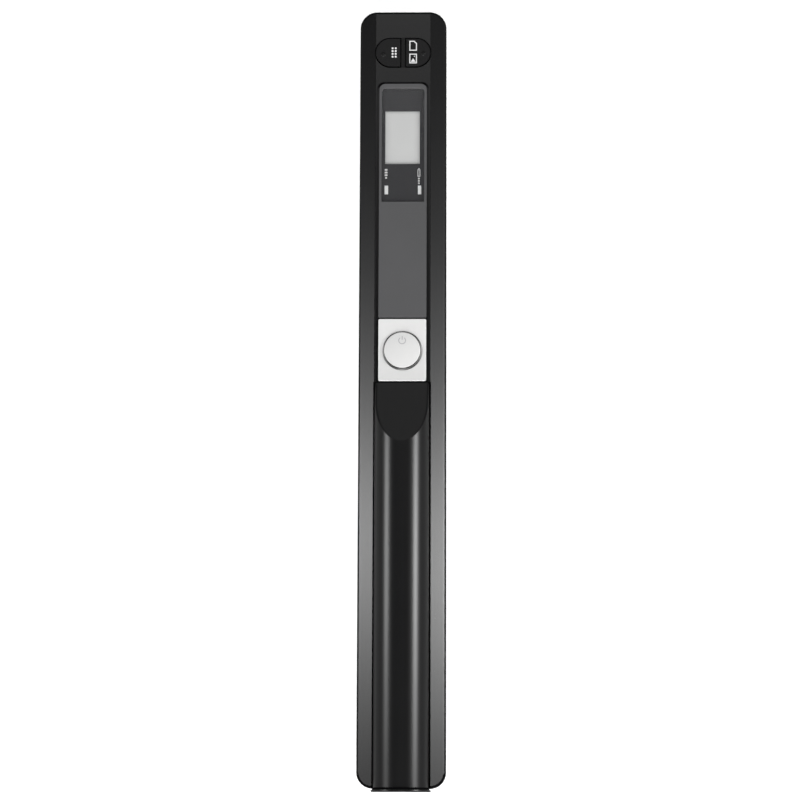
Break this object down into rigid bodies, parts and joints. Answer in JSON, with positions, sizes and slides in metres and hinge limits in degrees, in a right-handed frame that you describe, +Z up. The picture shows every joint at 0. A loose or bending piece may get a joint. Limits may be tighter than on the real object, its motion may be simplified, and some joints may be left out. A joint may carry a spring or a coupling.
{
  "type": "handheld book scanner",
  "caption": "Slim handheld wand scanner with a raised half-round battery handle, display window, round scan button, half-oval keys and rollers under a full-length glass strip.",
  "frame": {"origin": "centre of the overall box in plan, on the surface that the rollers stand on", "axes": "+Y along the length towards the display end, +X across towards the side with the sockets, +Z up, away from the page being scanned"},
  "size_m": [0.0286, 0.257, 0.0281],
  "materials": {
    "case_black": "satin moulded black",
    "cover_black": "satin moulded black",
    "battery_can": "printed metal can",
    "steel": "bright steel",
    "wire_black": "wire insulation",
    "wire_red": "wire insulation",
    "panel_grey": "dark grey printed panel",
    "mask_black": "printed black",
    "window_clear": "clear plastic window",
    "lcd_grey": "pale grey liquid crystal display",
    "white_plastic": "white moulded",
    "light_pipe": "milky translucent",
    "led_body": "small lamp",
    "plate_silver": "silver painted plastic",
    "button_silver": "silver painted plastic",
    "key_black": "satin black",
    "board_green": "circuit board",
    "chip_black": "moulded chip",
    "switch_metal": "small switch",
    "card_black": "moulded card",
    "flex_amber": "flexible printed cable",
    "screw_black": "blackened steel",
    "housing_black": "black moulded",
    "glass": "clear glass",
    "lens_dark": "rod lens block",
    "acetal": "white acetal",
    "tyre_rubber": "soft dark rubber",
    "encoder_black": "slotted wheel"
  },
  "bodies": {
    "case": {"battery_1": "battery_can", "battery_2": "battery_can", "battery_lead_neg": "wire_black", "battery_lead_pos": "wire_red", "battery_spring": "steel", "board_components": "chip_black", "board_screws": "steel", "button_plate": "plate_silver", "card_socket": "steel", "case_screws": "screw_black", "cis_glass": "glass", "cis_housing": "housing_black", "cis_lens_array": "lens_dark", "cis_light_guide": "light_pipe", "cis_sensor_board": "board_green", "display_window": "window_clear", "dpi_switch": "switch_metal", "encoder_pin": "steel", "encoder_sensor": "chip_black", "format_switch": "switch_metal", "front_contact": "steel", "indicator_led_left": "led_body", "indicator_led_right": "led_body", "indicator_pipe_left": "light_pipe", "indicator_pipe_right": "light_pipe", "label_panel": "panel_grey", "lcd_holder": "white_plastic", "lcd_module": "lcd_grey", "lower_case": "case_black", "main_board": "board_green", "pin_switch_a": "switch_metal", "pin_switch_b": "switch_metal", "rear_contact": "steel", "ribbon_cable": "flex_amber", "scan_switch": "switch_metal", "shaft_bush_back": "acetal", "shaft_bush_front": "acetal", "support_pin_back": "steel", "support_pin_front": "steel", "upper_case": "case_black", "usb_socket": "steel", "window_mask": "mask_black"},
    "battery_cover_body": {"battery_cover": "cover_black"},
    "scan_button_body": {"scan_button": "button_silver"},
    "dpi_button_body": {"dpi_button": "key_black"},
    "format_button_body": {"format_button": "key_black"},
    "pin_button_a_body": {"pin_button_a": "key_black"},
    "pin_button_b_body": {"pin_button_b": "key_black"},
    "memory_card_body": {"memory_card": "card_black"},
    "drive_axle": {"roller_shaft": "steel", "drive_hub_front": "acetal", "drive_hub_back": "acetal", "drive_tyre_front": "tyre_rubber", "drive_tyre_back": "tyre_rubber", "drive_gear": "acetal"},
    "encoder": {"encoder_wheel": "encoder_black"},
    "support_roller_front": {"support_hub_front": "acetal", "support_tyre_front": "tyre_rubber"},
    "support_roller_back": {"support_hub_back": "acetal", "support_tyre_back": "tyre_rubber"}
  },
  "joints": [
    {"name": "scan_button_press", "type": "slide", "parent": "case", "child": "scan_button_body", "axis": [0, 0, -1], "range_m": [0, 0.0004], "stiffness_N_per_m": 500},
    {"name": "dpi_button_press", "type": "slide", "parent": "case", "child": "dpi_button_body", "axis": [0, 0, -1], "range_m": [0, 0.0004], "stiffness_N_per_m": 500},
    {"name": "format_button_press", "type": "slide", "parent": "case", "child": "format_button_body", "axis": [0, 0, -1], "range_m": [0, 0.0004], "stiffness_N_per_m": 500},
    {"name": "pin_button_a_press", "type": "slide", "parent": "case", "child": "pin_button_a_body", "axis": [-1, 0, 0], "range_m": [0, 0.0003], "stiffness_N_per_m": 500},
    {"name": "pin_button_b_press", "type": "slide", "parent": "case", "child": "pin_button_b_body", "axis": [-1, 0, 0], "range_m": [0, 0.0003], "stiffness_N_per_m": 500},
    {"name": "battery_cover_lift", "type": "slide", "parent": "case", "child": "battery_cover_body", "axis": [0, 0, 1], "range_m": [0, 0.035]},
    {"name": "memory_card_slide", "type": "slide", "parent": "case", "child": "memory_card_body", "axis": [1, 0, 0], "range_m": [0, 0.012]},
    {"name": "drive_roller_spin", "type": "hinge", "parent": "case", "child": "drive_axle", "pos_m": [0.0074, 0.0005, 0.005], "axis": [0, 1, 0], "continuous": true},
    {"name": "encoder_spin", "type": "hinge", "parent": "case", "child": "encoder", "pos_m": [0.00317, 0.1165, 0.00654], "axis": [0, 1, 0], "continuous": true},
    {"name": "support_roller_front_spin", "type": "hinge", "parent": "case", "child": "support_roller_front", "pos_m": [-0.0074, 0.1222, 0.005], "axis": [0, 1, 0], "continuous": true},
    {"name": "support_roller_back_spin", "type": "hinge", "parent": "case", "child": "support_roller_back", "pos_m": [-0.0074, -0.1212, 0.005], "axis": [0, 1, 0], "continuous": true}
  ],
  "couplings": [
    {"joint": "encoder_spin", "follows": "drive_roller_spin", "ratio": -2}
  ]
}
